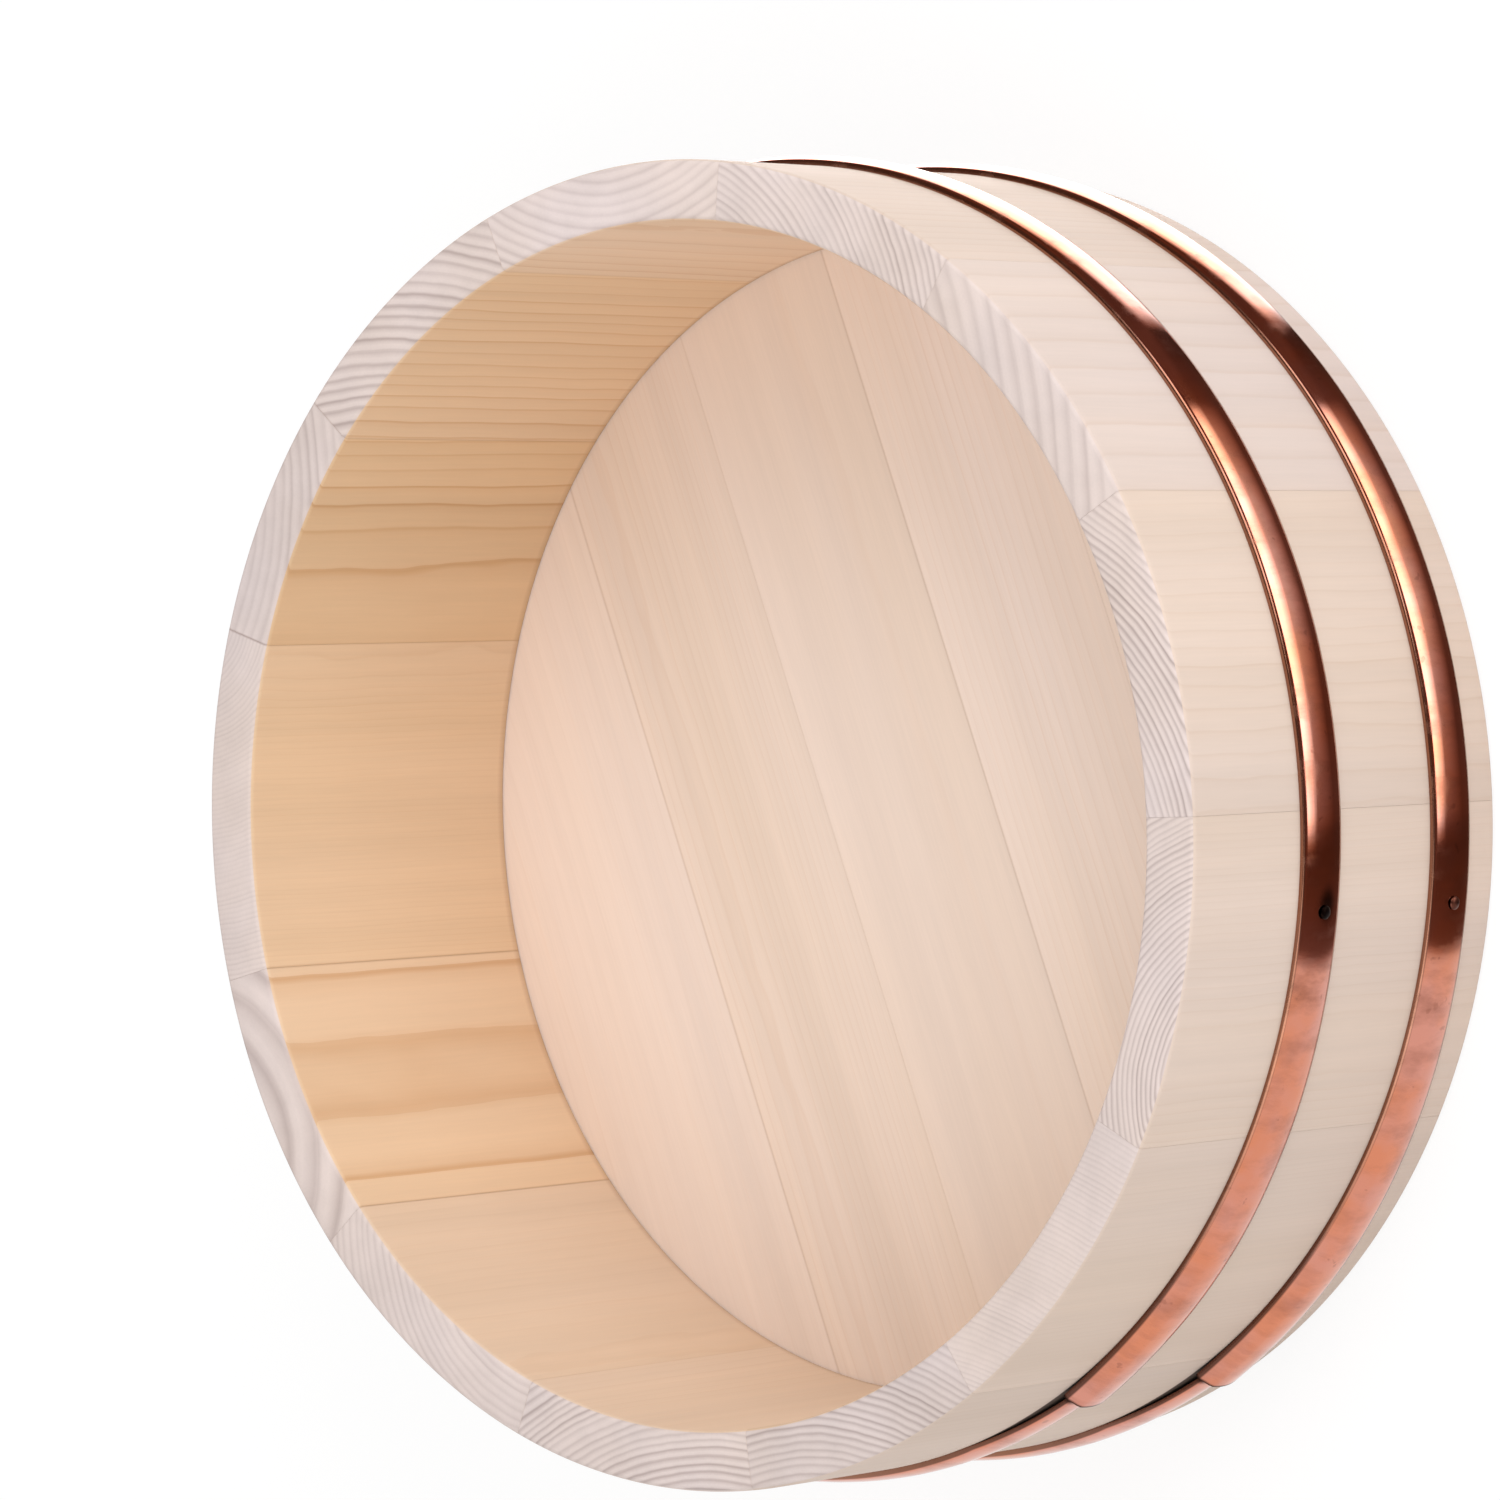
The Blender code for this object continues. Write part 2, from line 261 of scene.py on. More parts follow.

# Black lap, painted shade under the tip and on the tip: how far past the tip the strip below it is black and
# is bright again, the same on the tip itself, and how strong and how much duller the black is
LAP_BLACK = (1.8 * MM, 3.2 * MM)
TIP_BLACK = (0.2 * MM, 0.8 * MM)
BLACK_SHARE = 0.92
BLACK_DULLNESS = 0.30

# Black spot at each tack: its reach along and across the strip, where its middle lies from the tack, and how
# strong it is on each hoop
TACK_BLACK = (4.2 * MM, 3.0 * MM)
TACK_BLACK_MIDDLE = (1.8 * MM, -1.0 * MM)
TACK_BLACK_SHARE = {"hoop_upper": 1.0, "hoop_lower": 0.2}

# Painted shade on the wood under the hoops, which shows dark in the gaps beside the strip: how far inside a
# hoop's edges it is full and ends, how strong it is all round, how much stronger it is at the lap, and from
# where to where along the wall it loses that strength
COVER_EDGE = (0.5 * MM, 0.1 * MM)
COVER_SHARE = 0.3
COVER_LAP_SHARE = 0.6
COVER_LAP = (35.0 * MM, 90.0 * MM)

# Colours of early wood, late wood and stained seams, also used for the painted shade in the corner by the
# floor, and the roughness of the wood
WOODS = {
    "stave_outside": ((0.73, 0.59, 0.50), (0.64, 0.47, 0.36), (0.44, 0.31, 0.22), 0.62),
    "stave_inside": ((0.79, 0.59, 0.42), (0.60, 0.35, 0.18), (0.38, 0.21, 0.11), 0.62),
    "stave_ends": ((0.76, 0.645, 0.605), (0.38, 0.29, 0.27), (0.36, 0.27, 0.25), 0.75),
    "floor_wood": ((0.88, 0.74, 0.65), (0.78, 0.58, 0.45), (0.56, 0.40, 0.30), 0.60),
}
# Colour of the painted shade on the wood under the hoops
UNDER_HOOP_SHADE = (0.03, 0.015, 0.01)

# How dark the wood of one year is from its start to its end, along the grain and across it
SIDE_RINGS = ((0.0, 0.25), (0.06, 0.0), (0.50, 0.05), (0.84, 0.32), (0.95, 1.0), (1.0, 0.8))
END_RINGS = ((0.0, 0.7), (0.15, 0.12), (0.40, 0.0), (0.68, 0.45), (0.88, 1.0), (1.0, 0.7))

# Rings sway: waves to the metre, their stretch along the grain, and their reach. Years differ: waves to the
# millimetre and reach of their widths, waves and span of their strength, and the strength of a weak year.
RING_SWAYS = ((26, 0.12, 1.0 * MM), (70, 0.35, 1.4 * MM))
YEAR_WIDTH_WAVES = 0.11
YEAR_WIDTH_REACH = 0.8
YEAR_STRENGTH_WAVES = 0.05
YEAR_STRENGTH_SPAN = (0.35, 0.6)
WEAK_YEAR = 0.5

# Textures of the wood: waves to the metre, their stretch along the grain and their detail, and how far they
# change the shade, the roughness or the hue
STREAKS = (230, 0.02, 3)
STREAK_REACH = 0.015
BANDS = (55, 0.03, 2)
BAND_REACH = 0.045
FIBRES = (1500, 0.03, 2)
FIBRE_REACH = 0.015
FIBRE_ROUGHNESS = 0.06
HUES = (22, 0.15, 2)
HUE_REACH = 0.25

# Green and blue of the coolest and of the warmest wood
HUE_RANGE = (-2, 2)
GREEN_BY_HUE = (1.10, 0.90)
BLUE_BY_HUE = (1.32, 0.68)

# Relief of the wood
SIDE_RELIEF = 0.5
END_RELIEF = 0.2
FIBRE_RELIEF = 0.7
WOOD_BUMP = (0.35, 0.06 * MM)
WOOD_SPECULAR = 0.25

# Copper strip: the colours of its polish and of its marks. Each mark has a noise, with its waves to the
# metre, its detail and its roughness, and the span of the noise over which the mark comes up to its share.
POLISH = (0.78, 0.28, 0.16)
BLOOM = (0.75, 0.32, 0.24)
BLOOM_NOISE = (45, 3, 0.6)
BLOOM_SPAN = (0.40, 0.62)
SMEAR = (0.40, 0.15, 0.10)
SMEAR_NOISE = (150, 4, 0.6)
SMEAR_STRETCH = (1.0, 0.4, 1.0)
SMEAR_SPAN = (0.46, 0.74)
SMEAR_SHARE = 0.55
SPOT_NOISE = (300, 2, 0.5)
SPOT_SPAN = (0.68, 0.74)
SPOT_SHARE = 0.5
# Brown of the strip's edges, partly tarnish and partly painted shade
EDGE_BROWN = (0.28, 0.14, 0.09)
# Near black of the tack spots, and of the painted shade at the lap and on the edges near it
TARNISH_AND_SHADE = (0.02, 0.008, 0.005)

# Relief of the strip, with lines along it from drawing, and the span of the smears over which it gets rougher
DRAW_LINE_NOISE = (2600, 2, 0.5)
DRAW_LINE_STRETCH = (0.02, 1.0, 1.0)
DRAW_LINE_RELIEF = 0.25
STRIP_BUMP = (0.20, 0.05 * MM)
POLISH_SPAN = (0.50, 0.72)
POLISH_ROUGHNESS = (0.08, 0.24)

# Tacks of each hoop: the name of their copper, its two shades and its roughness
TACK_COPPER = {
    "hoop_upper": ("black_copper", (0.004, 0.002, 0.002), (0.012, 0.006, 0.004), 0.45),
    "hoop_lower": ("brown_copper", (0.10, 0.035, 0.025), (0.16, 0.055, 0.035), 0.35),
}
OXIDE_NOISE = (900, 3, 0.6)
OXIDE_SPAN = (0.40, 0.65)
OXIDE_ROUGHNESS_REACH = 0.1

# Bamboo pins
STRAW = (0.72, 0.58, 0.33)
BUNDLE = (0.52, 0.38, 0.18)
BUNDLE_NOISE = (1800, 2, 0.5)
BUNDLE_SPAN = (0.45, 0.7)
BAMBOO_ROUGHNESS = 0.5

# Relief of tacks and pins, and the span that most values of a noise lie in
ROUGH_BUMP = (0.3, 0.05 * MM)
NOISE_SPAN = (0.3, 0.7)

# Reading the frame: points within the first of these heights are level, and the solids' eased edges lie
# within the second of the rim and the foot
LEVEL = 0.1 * MM
EASED = 5.0 * MM


def radius_of(point):
    return math.hypot(point.x, point.y)


def angle_of(point):
    return math.atan2(point.y, point.x)


def at_angle(angle, radius, z):
    return Vector((radius * math.cos(angle), radius * math.sin(angle), z))


def smooth_step(share):
    share = min(max(share, 0.0), 1.0)
    return share * share * (3 - 2 * share)


def node_points(name):
    return [vert.co for vert in frame["nodes"][name].data.vertices]


# Pieces and sizes read from the frame
STAVES = sorted(name for name in frame["nodes"] if name.startswith("stave_") and "pin" not in name)
BOARDS = sorted(name for name in frame["nodes"] if name.startswith("floor_board"))
PINS = sorted(name for name in frame["nodes"] if "_pin_" in name)
TACKS = sorted(name for name in frame["nodes"] if name.startswith("tack"))
HOOPS = ("hoop_upper", "hoop_lower")
STAVE_POINTS = [point for name in STAVES for point in node_points(name)]
RIM_Z = max(point.z for point in STAVE_POINTS)
FLOOR_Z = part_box(BOARDS[2])[1].z
HOOP_BANDS = [((low.z + high.z) / 2, (high.z - low.z) / 2) for low, high in map(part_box, HOOPS)]
HOOP_HALF = HOOP_BANDS[0][1]


def wall_line(points, pick):
    """Radius of the wall as a straight function of height, from the CAD's lowest and highest wall rings."""
    low = pick((p for p in points if LEVEL < p.z < EASED), key=radius_of)
    high = pick((p for p in points if LEVEL < RIM_Z - p.z < EASED), key=radius_of)
    slope = (radius_of(high) - radius_of(low)) / (high.z - low.z)
    return lambda z: radius_of(low) + slope * (z - low.z)


outer_radius = wall_line(STAVE_POINTS, max)
inner_radius = wall_line(STAVE_POINTS, min)


def cad_glue():
    """Angle between neighbouring staves in the frame."""
    first, second = ([angle_of(p) for p in node_points(name)] for name in STAVES[:2])
    return min(second) - max(first)


CAD_GLUE = cad_glue()


def hoop_of(tack_name):
    return next(name for name in HOOPS if tack_name.startswith(name.replace("hoop", "tack")))


# Mesh helpers
def finished(name, bm, materials):
    """Turns a bmesh into a piece of the tub that rides on its body."""
    bmesh.ops.recalc_face_normals(bm, faces=bm.faces)
    mesh = bpy.data.meshes.new(name)
    bm.to_mesh(mesh)
    bm.free()
    mesh.shade_smooth()
    mesh.set_sharp_from_angle(angle=SHARP_EDGE)
    for material in materials:
        mesh.materials.append(material)
    piece = bpy.data.objects.new(name, mesh)
    bpy.context.scene.collection.objects.link(piece)
    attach(piece, "root")
    return piece


def loft(bm, loops):
    """Joins closed loops of points into a solid with capped ends."""
    rows = [[bm.verts.new(point) for point in loop] for loop in loops]
    for here, after in zip(rows, rows[1:]):
        for side in range(len(here)):
            other = (side + 1) % len(here)
            bm.faces.new((here[side], here[other], after[other], after[side]))
    bm.faces.new(rows[0])
    bm.faces.new(rows[-1])


def turned(bm, profile, segments, matrix):
    """Adds a solid turned about Z from (radius, height) pairs, lowest first."""
    spokes = [2 * math.pi * side / segments for side in range(segments)]
    loft(bm, [[matrix @ at_angle(spoke, radius, height) for spoke in spokes] for radius, height in profile])


def fillet(corner, before, after, radius, steps):
    """Points of a round of that radius at a corner of a flat outline of (radius, height) pairs."""
    corner, before, after = (Vector((*point, 0)) for point in (corner, before, after))
    into, out = (before - corner).normalized(), (after - corner).normalized()
    half = into.angle(out) / 2
    centre = corner + (into + out).normalized() * (radius / math.sin(half))
    start = corner + into * (radius / math.tan(half)) - centre
    end = corner + out * (radius / math.tan(half)) - centre
    points = [centre + start.slerp(end, step / steps).normalized() * radius for step in range(steps + 1)]
    return [(point.x, point.y) for point in points]


def vertex_values(piece, name, values):
    """Keeps three numbers on each vertex for the materials."""
    layer = piece.data.attributes.new(name, "FLOAT_VECTOR", "POINT")
    layer.data.foreach_set("vector", [number for value in values for number in value])


def lay_grain(piece, log, to_log, seed):
    """Keeps on each vertex its place in the log, how the rings lie, and the piece's tone, partly painted
    light.
    """
    pith_along, pith_out, gap, ring_end, on_ends, on_sides, tone, warmth = log
    tilt = Matrix.Rotation(LOG_TILT * noise.noise((seed, 0.3, 0.7)), 4, "X")
    tilt @= Matrix.Rotation(LOG_TILT * noise.noise((0.2, seed, 0.4)), 4, "Y")
    shift = Matrix.Translation((-pith_along * MM, -pith_out * MM, seed * LOG_SPACING))
    matrix = shift @ tilt @ to_log
    points = [matrix @ vert.co for vert in piece.data.vertices]
    vertex_values(piece, "log", points)
    vertex_values(piece, "rings", [(gap, ring_end, 0.0)] * len(points))
    vertex_values(piece, "contrast", [(on_ends, on_sides, 0.0)] * len(points))
    vertex_values(piece, "tones", [(tone, warmth, 0.0)] * len(points))


# Node helpers
class Tree:
    """A material's nodes, made by short calls; a socket given as an input is linked."""

    def __init__(self, material):
        material.use_nodes = True
        self.tree = material.node_tree
        self.tree.nodes.clear()

    def fill(self, socket, value):
        if isinstance(value, bpy.types.NodeSocket):
            self.tree.links.new(value, socket)
        else:
            socket.default_value = value

    def add(self, kind, inputs=(), output=0, **settings):
        node = self.tree.nodes.new("ShaderNode" + kind)
        for setting, value in settings.items():
            setattr(node, setting, value)
        for key, value in dict(inputs).items():
            self.fill(node.inputs[key], value)
        return node.outputs[output] if node.outputs else None

    def attribute(self, name):
        return self.add("Attribute", output="Vector", attribute_name=name)

    def place(self):
        return self.add("TexCoord", output="Object")

    def ray(self, kind):
        return self.add("LightPath", output=f"Is {kind} Ray")

    def seen(self):
        """One where the camera looks, also through glass."""
        return self.largest(self.ray("Camera"), self.ray("Transmission"))

    def parts(self, vector):
        return [self.add("SeparateXYZ", {0: vector}, axis) for axis in range(3)]

    def maths(self, operation, *values):
        return self.add("Math", dict(enumerate(values)), operation=operation)

    def times(self, first, second):
        return self.maths("MULTIPLY", first, second)

    def height_from(self, z):
        """How far a place lies above or below a height."""
        return self.maths("ABSOLUTE", self.maths("SUBTRACT", self.parts(self.place())[2], z))

    def total(self, *values):
        result = values[0]
        for value in values[1:]:
            result = self.maths("ADD", result, value)
        return result

    def largest(self, *values):
        result = values[0]
        for value in values[1:]:
            result = self.maths("MAXIMUM", result, value)
        return result

    def vectors(self, operation, *values, output=0):
        return self.add("VectorMath", dict(enumerate(values)), output, operation=operation)

    def noise(self, place, scale, detail, roughness=0.5, output=0):
        values = {"Vector": place, "Scale": scale, "Detail": detail, "Roughness": roughness}
        return self.add("TexNoise", values, output)

    def grain_noise(self, log, scale, along, detail=2.0, output=0):
        """Noise drawn out along the grain: small values of along make long streaks."""
        return self.noise(self.vectors("MULTIPLY", log, (1, 1, along)), scale, detail, output=output)

    def line_noise(self, value, scale):
        """Noise along a single number."""
        return self.add("TexNoise", {"W": value, "Scale": scale, "Detail": 1.0}, noise_dimensions="1D")

    def ramp(self, value, stops):
        """Grey levels along a value from 0 to 1."""
        node = self.tree.nodes.new("ShaderNodeValToRGB")
        steps = node.color_ramp.elements
        for number, (place, level) in enumerate(stops):
            step = steps[number] if number < 2 else steps.new(place)
            step.position = place
            step.color = grey(level)
        self.tree.links.new(value, node.inputs[0])
        return node.outputs[0]

    def fade(self, value, low, high, start=0.0, end=1.0):
        """A number that goes from start to end as a value goes from low to high."""
        values = {"Value": value, "From Min": low, "From Max": high, "To Min": start, "To Max": end}
        return self.add("MapRange", values)

    def vary(self, noise_value, reach, middle=0.0):
        """A number that a noise moves up and down by its reach."""
        return self.fade(noise_value, *NOISE_SPAN, middle - reach, middle + reach)

    def blend(self, share, first, second):
        """A number between two others."""
        return self.add("Mix", {0: share, 2: first, 3: second}, data_type="FLOAT")

    def mix(self, share, first, second, blend_type="MIX"):
        """A colour between two others."""
        inputs = {0: share, 6: first, 7: second}
        return self.add("Mix", inputs, 2, data_type="RGBA", blend_type=blend_type)

    def bump(self, height, strength, distance):
        return self.add("Bump", {"Strength": strength, "Distance": distance, "Height": height})

    def surface(self, shader):
        self.add("OutputMaterial", {"Surface": shader})

    def principled(self, colour, roughness, normal, others=()):
        inputs = {"Base Color": colour, "Roughness": roughness, "Normal": normal, **dict(others)}
        self.surface(self.add("BsdfPrincipled", inputs))


def rgb(red, green, blue):
    return (red, green, blue, 1.0)


def grey(level):
    return rgb(level, level, level)


# Materials
def growth_rings(tree, log, profile):
    """From 0 in early wood to 1 in the late wood that ends each year, cut through the log's own rings."""
    gap, ring_end, _ = tree.parts(tree.attribute("rings"))
    place = log
    for scale, along, reach in RING_SWAYS:
        sway = tree.vectors("SUBTRACT", tree.grain_noise(log, scale, along, output=1), (0.5, 0.5, 0.5))
        place = tree.vectors("ADD", place, tree.vectors("MULTIPLY", sway, (reach, reach, reach)))
    radius = tree.vectors("LENGTH", tree.vectors("MULTIPLY", place, (1, 1, 0)), output="Value")
    in_mm = tree.times(radius, 1 / MM)
    uneven = tree.fade(tree.line_noise(in_mm, YEAR_WIDTH_WAVES), 0, 1, -YEAR_WIDTH_REACH, YEAR_WIDTH_REACH)
    grown = tree.maths("SUBTRACT", tree.total(in_mm, uneven), ring_end)
    years = tree.maths("DIVIDE", grown, gap)
    year = tree.add("TexWhiteNoise", {"W": tree.maths("FLOOR", years)}, noise_dimensions="1D")
    lively = tree.fade(tree.line_noise(in_mm, YEAR_STRENGTH_WAVES), *YEAR_STRENGTH_SPAN, WEAK_YEAR, 1)
    strength = tree.times(tree.fade(year, 0, 1, WEAK_YEAR, 1), lively)
    return tree.times(tree.ramp(tree.maths("FRACT", years), profile), strength)


def softwood(name, across=False, hooped=False, floored=False):
    """Planed softwood with growth rings, bands, fibres and stained joints, sawn along or across the grain.

    Wood that is hooped carries painted shade under the hoops, and floored wood in the corner by the floor.
    """
    *colours, roughness = WOODS[name]
    early, late, stain_and_shade = (rgb(*colour) for colour in colours)
    material = bpy.data.materials.new(name)
    tree = Tree(material)
    log = tree.attribute("log")
    side = 0 if across else 1
    tone, warmth, _ = tree.parts(tree.attribute("tones"))
    contrast = tree.parts(tree.attribute("contrast"))[side]
    # The third value of the seam attribute is the painted shade under the hoops
    seams_and_hoop_shade = tree.parts(tree.attribute("seam"))
    ring = tree.times(growth_rings(tree, log, END_RINGS if across else SIDE_RINGS), contrast)
    fibres = tree.grain_noise(log, *FIBRES)
    # The piece's tone is partly its own and partly painted light and shade
    level = tree.total(
        tone,
        tree.vary(tree.grain_noise(log, *STREAKS), STREAK_REACH, middle=1.0),
        tree.vary(tree.grain_noise(log, *BANDS), BAND_REACH),
        tree.vary(fibres, FIBRE_REACH),
    )
    hue = tree.vary(tree.grain_noise(log, *HUES), HUE_REACH)
    if not across:
        hue = tree.total(warmth, hue)
    green = tree.times(level, tree.fade(hue, *HUE_RANGE, *GREEN_BY_HUE))
    blue = tree.times(level, tree.fade(hue, *HUE_RANGE, *BLUE_BY_HUE))
    shade = tree.add("CombineColor", {0: level, 1: green, 2: blue})
    colour = tree.mix(1.0, tree.mix(ring, early, late), shade, "MULTIPLY")
    colour = tree.mix(seams_and_hoop_shade[side], colour, stain_and_shade)
    # Painted shade in the corner where the wall meets the floor
    if floored:
        line = tree.fade(tree.height_from(FLOOR_Z), *FLOOR_LINE, FLOOR_CORNER_SHADE, 0)
        colour = tree.mix(line, colour, stain_and_shade)
    # Painted shade on the wood under the hoops, strongest at the lap, seen in the gaps beside the strip
    if hooped:
        full, end = COVER_EDGE
        for middle, half in HOOP_BANDS:
            covered = tree.fade(tree.height_from(middle), half - full, half - end, 1, 0)
            colour = tree.mix(tree.times(covered, seams_and_hoop_shade[2]), colour, rgb(*UNDER_HOOP_SHADE))

    relief = tree.times(ring, END_RELIEF if across else SIDE_RELIEF)
    bump = tree.bump(tree.total(relief, tree.times(fibres, FIBRE_RELIEF)), *WOOD_BUMP)
    rough = tree.vary(fibres, FIBRE_ROUGHNESS, middle=roughness)
    tree.principled(colour, rough, bump, {"Specular IOR Level": WOOD_SPECULAR})
    return material


def brown_and_shaded_edges(tree, strip):
    """One on the edges and sides of the strip, which are partly worn and partly painted shade of the gaps
    there.
    """
    _, across, depth = tree.parts(strip)
    return tree.largest(
        tree.fade(depth, *reversed(SIDE_BROWN), 1, 0),
        tree.fade(across, HOOP_HALF - UPPER_BROWN[0], HOOP_HALF - UPPER_BROWN[1]),
        tree.fade(across, LOWER_BROWN[1] - HOOP_HALF, LOWER_BROWN[0] - HOOP_HALF, 1, 0),
    )


def copper(name):
    """Drawn copper strip, polished, with pink bloom and brown smears, and painted shade on its edges and lap.
    """
    material = bpy.data.materials.new(name)
    tree = Tree(material)
    place = tree.place()
    strip = tree.attribute("strip")
    start, left, round_tack = tree.parts(tree.attribute("wear"))
    lines = tree.noise(tree.vectors("MULTIPLY", strip, DRAW_LINE_STRETCH), *DRAW_LINE_NOISE)
    smears = tree.noise(tree.vectors("MULTIPLY", strip, SMEAR_STRETCH), *SMEAR_NOISE)
    spots = tree.noise(place, *SPOT_NOISE)
    bloom = tree.noise(place, *BLOOM_NOISE)
    tint = tree.mix(tree.fade(bloom, *BLOOM_SPAN), rgb(*POLISH), rgb(*BLOOM))
    tint = tree.mix(tree.fade(smears, *SMEAR_SPAN, 0, SMEAR_SHARE), tint, rgb(*SMEAR))
    tint = tree.mix(tree.fade(spots, *SPOT_SPAN, 0, SPOT_SHARE), tint, rgb(*SMEAR))

    # Edges partly worn and partly painted shade, turning black with painted shade near the lap
    brown_and_shaded = brown_and_shaded_edges(tree, strip)
    near_lap = tree.largest(*(tree.fade(end, *BLACK_EDGES, BLACK_EDGE_SHARE, 0) for end in (start, left)))
    edge_tint = tree.mix(near_lap, rgb(*EDGE_BROWN), rgb(*TARNISH_AND_SHADE))
    tint = tree.mix(tree.times(brown_and_shaded, BROWN_SHARE), tint, edge_tint)
    # Painted shade under the tip of the lap and along the tip
    lap_shade = tree.largest(
        tree.fade(start, HOOP_LAP + LAP_BLACK[0], HOOP_LAP + LAP_BLACK[1], 1, 0),
        tree.fade(left, *TIP_BLACK, 1, 0),
    )
    black = tree.times(tree.largest(lap_shade, round_tack), BLACK_SHARE)
    tint = tree.mix(black, tint, rgb(*TARNISH_AND_SHADE))

    matt = tree.largest(tree.times(brown_and_shaded, BROWN_DULLNESS), tree.times(lap_shade, BLACK_DULLNESS))
    rough = tree.total(tree.fade(smears, *POLISH_SPAN, *POLISH_ROUGHNESS), matt)
    bump = tree.bump(tree.total(tree.times(lines, DRAW_LINE_RELIEF), smears), *STRIP_BUMP)
    tree.principled(tint, rough, bump, {"Metallic": 1.0})
    return material


def oxide(name, dark, brown, roughness):
    """Copper that has gone dark."""
    material = bpy.data.materials.new(name)
    tree = Tree(material)
    patches = tree.noise(tree.place(), *OXIDE_NOISE)
    colour = tree.mix(tree.fade(patches, *OXIDE_SPAN), rgb(*dark), rgb(*brown))
    rough = tree.vary(patches, OXIDE_ROUGHNESS_REACH, middle=roughness)
    tree.principled(colour, rough, tree.bump(patches, *ROUGH_BUMP), {"Metallic": 1.0})
    return material


def bamboo(name):
    """Split bamboo: straw colour with fine dark fibre bundles."""
    material = bpy.data.materials.new(name)
    tree = Tree(material)
    bundles = tree.noise(tree.place(), *BUNDLE_NOISE)
    colour = tree.mix(tree.fade(bundles, *BUNDLE_SPAN), rgb(*STRAW), rgb(*BUNDLE))
    tree.principled(colour, BAMBOO_ROUGHNESS, tree.bump(bundles, *ROUGH_BUMP))
    return material


# Staves
def stave_outline():
    """Rounded section of a stave as (radius, height) pairs, with the groove that holds the floor."""
    points = node_points(STAVES[0])
    levels = sorted(p.z for p in points if EASED < p.z < FLOOR_Z + EASED)
    low, high = levels[0], levels[-1]
    wall_middle = (outer_radius(high) + inner_radius(high)) / 2
    at_groove = [radius_of(p) for p in points if abs(p.z - high) < LEVEL]
    depth = max(radius for radius in at_groove if radius < wall_middle)
    corners = [
        (outer_radius(0), 0),
        (outer_radius(RIM_Z), RIM_Z),
        (inner_radius(RIM_Z), RIM_Z),
        (inner_radius(0), 0),
    ]
    rounds = []
    for number, corner in enumerate(corners):
        rounds.append(fillet(corner, corners[number - 1], corners[(number + 1) % 4], EDGE_ROUND, EDGE_STEPS))
    foot_out, rim_out, rim_in, foot_in = rounds
    notch = [(inner_radius(high), high), (depth, high), (depth, low), (inner_radius(low), low)]
    return foot_out + rim_out + rim_in + notch + foot_in


def stave_span(name):
    """Direction of a stave's middle, and from there the angles to its first and to its last joint line."""
    low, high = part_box(name)
    centre = angle_of(low.lerp(high, 0.5))
    turn_back = Matrix.Rotation(-centre, 4, "Z")
    angles = [angle_of(turn_back @ p) for p in node_points(name)]
    gap = JOINT_LINE / 2 / inner_radius(0)
    return centre, min(angles) - CAD_GLUE / 2 + gap, max(angles) + CAD_GLUE / 2 - gap


def under_hoop_shade_share(angle, radius):
    """How strong the painted shade on the wood under the hoops is at an angle round the tub."""
    from_lap = abs(math.remainder(angle - HOOP_SEAM, 2 * math.pi)) * radius
    full, end = COVER_LAP
    return COVER_SHARE + COVER_LAP_SHARE * smooth_step((end - from_lap) / (end - full))


def stave(name, number, materials):
    """A stave between its two joint lines, with narrow strips along them for the stain of the seams."""
    centre, start, end = stave_span(name)
    margin = SEAM_WIDTH / outer_radius(RIM_Z)
    steps = math.ceil((end - start) / STAVE_ARC_STEP)
    between = [start + (end - start) * step / steps for step in range(1, steps)]
    places = [start, start + margin, *between, end - margin, end]
    outline = stave_outline()
    bm = bmesh.new()
    loft(bm, [[at_angle(centre + place, r, z) for r, z in outline] for place in places])
    piece = finished(name + "_wood", bm, materials)

    turn_back = Matrix.Rotation(-centre, 4, "Z")
    radius = (outer_radius(0) + inner_radius(0)) / 2
    lean = math.atan2(outer_radius(RIM_Z) - outer_radius(0), RIM_Z)
    upright = Matrix.Rotation(-lean, 4, "Y") @ Matrix.Translation((-radius, 0, 0)) @ turn_back
    to_log = Matrix.Scale(-1, 4, (1, 0, 0)) @ Matrix.Rotation(math.pi / 2, 4, "Z") @ upright
    lay_grain(piece, STAVE_LOGS[name], to_log, number)

    following = STAVES[number % len(STAVES)]
    seams_and_hoop_shade = []
    for vert in piece.data.vertices:
        angle = angle_of(turn_back @ vert.co)
        seam = (0.0, 0.0)
        if angle - start < margin / 2:
            seam = DARK_SEAMS.get(name, PLAIN_SEAM)
        elif end - angle < margin / 2:
            seam = DARK_SEAMS.get(following, PLAIN_SEAM)
        # The third value is how strong the painted shade under the hoops is here
        seams_and_hoop_shade.append((*seam, under_hoop_shade_share(centre + angle, radius)))
    vertex_values(piece, "seam", seams_and_hoop_shade)

    outside, inside, ends = range(3)
    for face in piece.data.polygons:
        outward = face.normal.x * face.center.x + face.normal.y * face.center.y
        if abs(face.normal.z) > END_FACING:
            face.material_index = ends
        else:
            face.material_index = outside if outward > 0 else inside
    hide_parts(name)


# Floor
def cut_board(bm, y, normal, keep_all):
    """Cuts a board along a line across Y, and closes it where the part beyond the line is taken off."""
    cut = bmesh.ops.bisect_plane(
        bm,
        geom=[*bm.verts, *bm.edges, *bm.faces],
        plane_co=(0, y, 0),
        plane_no=(0, normal, 0),
        clear_outer=not keep_all,
    )["geom_cut"]
    if not keep_all:
        bmesh.ops.contextual_create(bm, geom=[edge for edge in cut if isinstance(edge, bmesh.types.BMEdge)])


